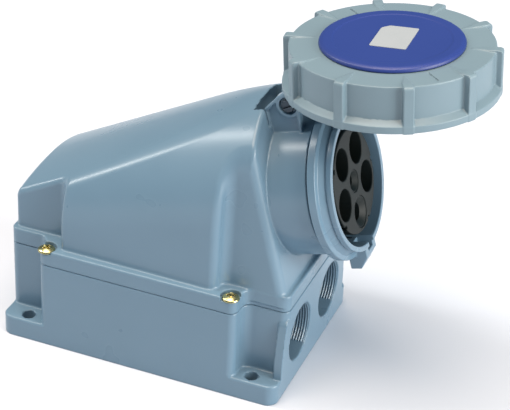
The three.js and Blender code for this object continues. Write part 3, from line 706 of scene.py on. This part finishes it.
def ring_form(h, y, z):
    """The bayonet ring, from its rim up: ribs that taper inwards, two lugs inside, and two marks."""
    radius, angle = np.hypot(y, z), np.arctan2(-y, z)
    wall = turned_field(radius, h, RING, 0.6)
    out, side = repeated(radius, angle - RIB_PHASE, RIBS)
    width = RIB_HALF_WIDTH * np.clip((out - RIB_START + 1.5) / RIB_RUN, 0.12, 1)
    rise = (RIB_HEIGHT - RING_HEIGHT) * np.clip((out - RIB_START + 0.5) / RIB_RUN, 0, 1)
    top = RING_HEIGHT + rise
    blade = meet(meet(h - top, out - RING_BEAD, 1.8), -0.2 - h, 0.1)
    outside_only = np.where(h < RING_HEIGHT - 2, 50.6 - out, -9)
    blade = np.maximum(blade, np.maximum(RIB_START - out, outside_only))
    rib = meet(blade, np.abs(side) - width, 0.6)
    form = join(wall, rib, 0.7)
    side = repeated(radius, angle - LUG_ANGLE, 2)[1]
    lug = np.maximum(between(radius, 43.2, 51.5), between(h, 1, 4.5))
    lug = np.maximum(np.abs(side) - LUG_HALF_WIDTH, lug)
    form = join(form, lug, 0.5)
    side = repeated(radius, angle - MARK_ANGLE, 2)[1]
    mark = np.maximum(between(radius, 38.5, 48.5), RING_HEIGHT - 0.5 - h)
    return less(form, np.maximum(np.abs(side) - 0.4, mark), 0.1)


# ---------- screws ----------


def screw_field(head, height, shank, length):
    """A raised cross-recess screw along +X, with its head's seat at the origin."""

    def field(x, y, z):
        radius = np.hypot(y, z)
        dome = np.hypot(radius, x + head * 1.6 - height) - head * 1.6
        cap = meet(meet(dome, radius - head, 0.5), -x, 0.2)
        form = join(cap, np.maximum(radius - shank, between(x, -length, 0.1)), 0.2)
        u, v = np.abs(y + z) * math.sqrt(0.5), np.abs(y - z) * math.sqrt(0.5)
        reach = head * (0.55 - 0.3 * np.clip((height - x) / height, 0, 1))
        cross = np.minimum(np.maximum(u - 0.62, v - reach), np.maximum(v - 0.62, u - reach))
        return less(form, np.maximum(cross, height * 0.12 - x), 0.12)

    return field


def pin_field(x, y, z):
    """The hinge pin along Y, with a slotted head at its near end."""
    radius = np.hypot(x, z)
    shaft = meet(radius - PIN_RADIUS, np.abs(y) - PIN_END, 0.4)
    head = meet(radius - PIN_HEAD, between(y, PIN_FRONT, PIN_BACK), 0.5)
    aside = np.abs(x * math.sin(PIN_SLOT_TURN) - z * math.cos(PIN_SLOT_TURN))
    slot = np.maximum(aside - 0.55, y - PIN_FRONT - 1.2)
    return less(np.minimum(np.maximum(shaft, -14 - y), head), slot, 0.1)


def arm_form(h, y, z):
    """The lid's hinge arm: an eye round the pin, a leg across the rim, and a foot on the plate."""
    eye = np.hypot(h - PIN_H, z - PIN_Z)
    points = [
        (14.2, 39.9), (14.2, 47), (2, 47), (PIN_H + 5.4, PIN_Z + 2.6), (PIN_H, PIN_Z + 6),
        (PIN_H - 5.8, PIN_Z - 1.5), (0, 44.8), (11, 44.8), (11, 39.9),
    ]
    strap = polygon(h, z, points)
    arm = meet(join(strap, eye - 6, 1), np.abs(y) - ARM_HALF_WIDTH, 0.6)
    return less(arm, eye - PIN_HOLE, 0.2)


# ---------- assembly ----------


def build_housing():
    """The base, the cover and the threads of the cable entries."""
    base = formed("base_shell", base_form, base_low, base_high, 0.85)
    finish(base, "housing_plastic", "root", ["base_housing"])
    cover = formed("cover_shell", cover_form, cover_low, cover_high, 0.8)
    finish(cover, "housing_plastic", "root", ["cover_housing"])
    for side in (-1, 1):
        finish(entry_thread(side), "housing_plastic")


def build_socket():
    """The collar with its seal and lock ring, the insert, the contacts and two funnels."""
    low, high = (COLLAR_BACK, -COLLAR_FLANGE, -KEY_REACH), (0, COLLAR_FLANGE, COLLAR_FLANGE)
    collar = formed("collar", collar_form, low, high, 0.55, SOCKET, 0.35)
    finish(collar, "housing_plastic", "root", ["socket_collar"])
    low = (CARRIER_BACK, -CARRIER_FOOT, -CARRIER_FOOT)
    high = (CARRIER_FACE, CARRIER_FOOT, CARRIER_FOOT)
    carrier = formed("carrier", carrier_form, low, high, 0.5, SOCKET, 0.35)
    finish(carrier, "carrier_plastic", "root", ["contact_carrier"])
    seal = turned("collar_seal", tube_outline(*COLLAR_SEAL), SOCKET, 0.6)
    finish(seal, "seal_rubber", "root", ["collar_gasket"])
    lock = turned("lock_ring", tube_outline(*LOCK_RING), SOCKET, 0.5)
    finish(lock, "carrier_plastic", "root", ["socket_lock_ring"])
    for name, angle in CONTACTS.items():
        place = SOCKET @ Matrix.Translation(around(CONTACT_CIRCLE, angle))
        sleeve = turned(name.replace("contact", "sleeve"), sleeve_outline(*POWER_CONTACT), place, 0.3, 64)
        finish(sleeve, "contact_brass", "root", [name])
    sleeve = turned("sleeve_pilot", sleeve_outline(*PILOT_CONTACT), SOCKET, 0.3, 64)
    finish(sleeve, "contact_brass", "root", ["contact_pilot"])
    place = SOCKET @ Matrix.Translation(around(CONTACT_CIRCLE, CONTACTS["contact_N"]))
    guide = turned("guide_N", guide_outline(WELL_RADIUS, FUNNEL_BORE), place, 0.1, 64)
    finish(guide, "carrier_plastic")
    guide = turned("guide_pilot", guide_outline(PILOT_WELL_RADIUS, PILOT_FUNNEL_BORE), SOCKET, 0.1, 64)
    finish(guide, "carrier_plastic")


def tube_outline(inner, outer, low, high):
    """A plain ring or seal."""
    return [(inner, low), (outer, low), (outer, high), (inner, high)]


def sleeve_outline(radius, bore, back):
    """A contact: bored from the front for the plug's pin and from the back for its wire."""
    return [
        (0, back + 9), (bore * 0.8, back + 9), (bore * 0.8, back), (radius, back), (radius, -12),
        (bore + 0.6, -12), (bore, -13.2), (bore, -48), (0, -48),
    ]


def guide_outline(well, bore):
    """A funnel in a well's mouth that leads the plug's pin into its contact."""
    radius = well - FUNNEL_GAP
    return [(radius, -2.8), (radius, -11.6), (bore, -11.6), (bore, -5.2), (radius - 0.4, -2.8)]


def build_lid():
    """The bayonet ring, the blue disc, the plate with its seal, the arm and the label."""
    low, high = (0, -RING_BEAD, -RING_BEAD), (RIB_HEIGHT, RING_BEAD, RING_BEAD)
    ring = formed("ribbed_ring", ring_form, low, high, 0.55, LID, 0.35)
    finish(ring, "ring_plastic", "ring", ["bayonet_ring"])
    rim = DISC_TOP - 0.3
    low = RING_HEIGHT + 0.3
    disc = turned("blue_disc", [
        (0, rim), (29.4, rim), (30.1, DISC_TOP), (34.4, DISC_TOP), (36, DISC_TOP - 0.7),
        (DISC_RADIUS, DISC_TOP - 1.8), (DISC_RADIUS, low), (34.2, low), (34.2, 18.2),
        (30, 18.2), (30, 22.8), (0, 22.8),
    ], LID, 0.8, 192)
    finish(disc, "lid_blue", "lid", ["lid_disc"])
    plate = turned("inner_plate", [
        (0, PLATE_FACE), (PLATE_RADIUS, PLATE_FACE), (PLATE_RADIUS, 19.5), (34.8, 19.5),
        (34.8, 17.9), (0, 17.9),
    ], LID, 0.5, 192)
    finish(plate, "carrier_plastic", "lid", ["lid_plate"])
    seal = turned("lid_seal", tube_outline(*LID_SEAL), LID, 1.3)
    finish(seal, "seal_rubber", "lid", ["lid_gasket"])
    low, high = (PIN_H - 6.5, -ARM_HALF_WIDTH, 39.5), (14.6, ARM_HALF_WIDTH, PIN_Z + 6.5)
    arm = formed("hinge_arm", arm_form, low, high, 0.4, LID, 0.4)
    finish(arm, "housing_plastic", "lid", ["lid_hinge_arm"])
    finish(label_plate(), "label_stock", "lid", ["rating_label"])


def label_plate():
    """A plain paper label with one cut corner, on the disc."""
    width, height, cut, aside = 26.2, 18.6, 3.6, 1
    right = aside + width
    points = [(aside, 0), (right, 0), (right, height - cut), (right - cut, height), (aside, height)]
    edge = filleted(points, 1.2)
    low, high = DISC_TOP - 0.28, DISC_TOP - 0.05
    mesh = bpy.data.meshes.new("label")
    work = bmesh.new()
    middle = (aside + width / 2, height / 2)
    rows = [
        [work.verts.new((h, u - middle[0], v - middle[1])) for u, v in edge]
        for h in (low, high)
    ]
    work.faces.new(rows[0][::-1])
    work.faces.new(rows[1])
    for i in range(len(edge)):
        work.faces.new((rows[0][i - 1], rows[0][i], rows[1][i], rows[1][i - 1]))
    bmesh.ops.recalc_face_normals(work, faces=work.faces)
    work.to_mesh(mesh)
    work.free()
    place = LID @ Matrix.Translation((0, 1.3, -0.6)) @ Matrix.Rotation(math.radians(2), 4, "X")
    mesh.transform(Matrix.Scale(MM, 4) @ place)
    return shown("label", mesh)


def screw(name, cad_name, sizes, place, slot, body="root", step=0.22):
    """Makes one screw, with its head's seat at the place's origin."""
    head, height, _, length = sizes
    low, high = (-length, -head, -head), (height, head, head)
    piece = formed(name, screw_field(*sizes), low, high, step, place, 0.4)
    finish(piece, slot, body, [cad_name])


def build_fasteners():
    """The screws, the hinge pin and its clip."""
    turns = itertools.cycle((0.3, 1.1, 0.7, 0.1))
    for i, (x, y) in enumerate([(x, y) for y in (-SCREW_Y, SCREW_Y) for x in SCREW_X]):
        seat = (x, y, FLANGE_TOP - SEAT_DEPTH + 0.3)
        upright = Matrix.Translation(seat) @ Matrix.Rotation(-math.pi / 2, 4, "Y")
        place = upright @ Matrix.Rotation(next(turns), 4, "X")
        screw(f"gold_screw_{i + 1}", f"cover_screw_{i + 1}", COVER_SCREW, place, "plated_screw")
    facing_in = Matrix.Rotation(math.pi, 4, "Y")
    for i, angle in enumerate(range(30, 360, 120)):
        seat = around(LID_SCREW_CIRCLE, -math.radians(angle), PLATE_FACE - 0.3)
        place = LID @ Matrix.Translation(seat) @ facing_in
        screw(f"plate_screw_{i + 1}", f"lid_screw_{i + 1}", LID_SCREW, place, "screw_steel", "lid", 0.2)
    for i, y in enumerate((-ARM_SCREW_Y, ARM_SCREW_Y)):
        place = LID @ Matrix.Translation((ARM_FACE, y, ARM_SCREW_Z)) @ facing_in
        screw(f"foot_screw_{i + 1}", f"arm_screw_{i + 1}", ARM_SCREW, place, "screw_steel", "lid", 0.16)
    low, high = (-PIN_HEAD, PIN_FRONT, -PIN_HEAD), (PIN_HEAD, PIN_END, PIN_HEAD)
    pin = formed("slotted_pin", pin_field, low, high, 0.25, Matrix.Translation(PIN), 0.5)
    finish(pin, "screw_steel", "root", ["hinge_pin"])
    clip_place = Matrix.Translation(PIN) @ Matrix.Rotation(math.pi / 2, 4, "Z")
    clip = turned("pin_clip", tube_outline(*PIN_CLIP), clip_place, 0.25, 48)
    finish(clip, "screw_steel", "root", ["hinge_clip"])


build_housing()
build_socket()
build_lid()
build_fasteners()

# CAD nodes that no piece stands for get the same finishes.
slot_of = {part["node"]: part["material_slot"] for part in frame["record"]["subparts"]}
for name, cad in frame["nodes"].items():
    if not cad.hide_render:
        cad.data.materials.clear()
        cad.data.materials.append(FINISHES[slot_of[name]])

# ---------- stage ----------

CAMERA_AZIMUTH, CAMERA_ELEVATION, CAMERA_ROLL = (math.radians(a) for a in (20.42, 30.91, 2.92))
CAMERA_PLACE = Vector((0.3146, -0.7338, 0.5526))
camera = bpy.data.objects.new("camera", bpy.data.cameras.new("camera"))
bpy.context.scene.collection.objects.link(camera)
camera.matrix_world = (
    Matrix.Translation(CAMERA_PLACE)
    @ Matrix.Rotation(CAMERA_AZIMUTH, 4, "Z")
    @ Matrix.Rotation(math.pi / 2 - CAMERA_ELEVATION, 4, "X")
    @ Matrix.Rotation(CAMERA_ROLL, 4, "Z")
)
camera.data.lens = 119.42
camera.data.shift_x, camera.data.shift_y = 0.0078, 0.0007
bpy.context.scene.camera = camera


LIGHT_TARGET = Vector((0.04, 0, 0.08))


def softbox(name, azimuth, elevation, distance, size, power, colour):
    """An area light that faces the object. Azimuth 0 is the -Y side, and 90 the +X side."""
    data = bpy.data.lights.new(name, "AREA")
    data.shape = "RECTANGLE"
    data.size, data.size_y = size
    data.energy = power
    data.color = colour
    a, e = math.radians(azimuth), math.radians(elevation)
    back = Vector((math.sin(a) * math.cos(e), -math.cos(a) * math.cos(e), math.sin(e)))
    light = bpy.data.objects.new(name, data)
    light.location = LIGHT_TARGET + back * distance
    light.rotation_euler = back.to_track_quat("Z", "Y").to_euler()
    bpy.context.scene.collection.objects.link(light)


softbox("right_box", 82, 20, 3, (2, 2), 132, (1, 0.96, 0.9))
softbox("left_strip", -82, 37, 3, (0.28, 2), 48, (1, 0.99, 0.95))
softbox("top_box", -20, 80, 3, (2.4, 2.4), 142, (1, 0.83, 0.68))

world = bpy.data.worlds.new("studio")
world.use_nodes = True
world.node_tree.nodes["Background"].inputs["Color"].default_value = (0.4, 0.7, 1.0, 1)
world.node_tree.nodes["Background"].inputs["Strength"].default_value = 0.24
bpy.context.scene.world = world
bpy.context.scene.view_settings.view_transform = "Standard"

FLOOR_REACH = 9
floor_corners = [(x * FLOOR_REACH, y * FLOOR_REACH, 0) for x, y in ((-1, -1), (1, -1), (1, 1), (-1, 1))]
floor = shown("floor", new_mesh("floor", floor_corners, np.array([[0, 1, 2, 3]])))
pale = surface("floor_paper", (200, 207, 217), (198, 205, 215), 0.9, relief=0.0, patch=400)
floor.data.materials.append(pale)
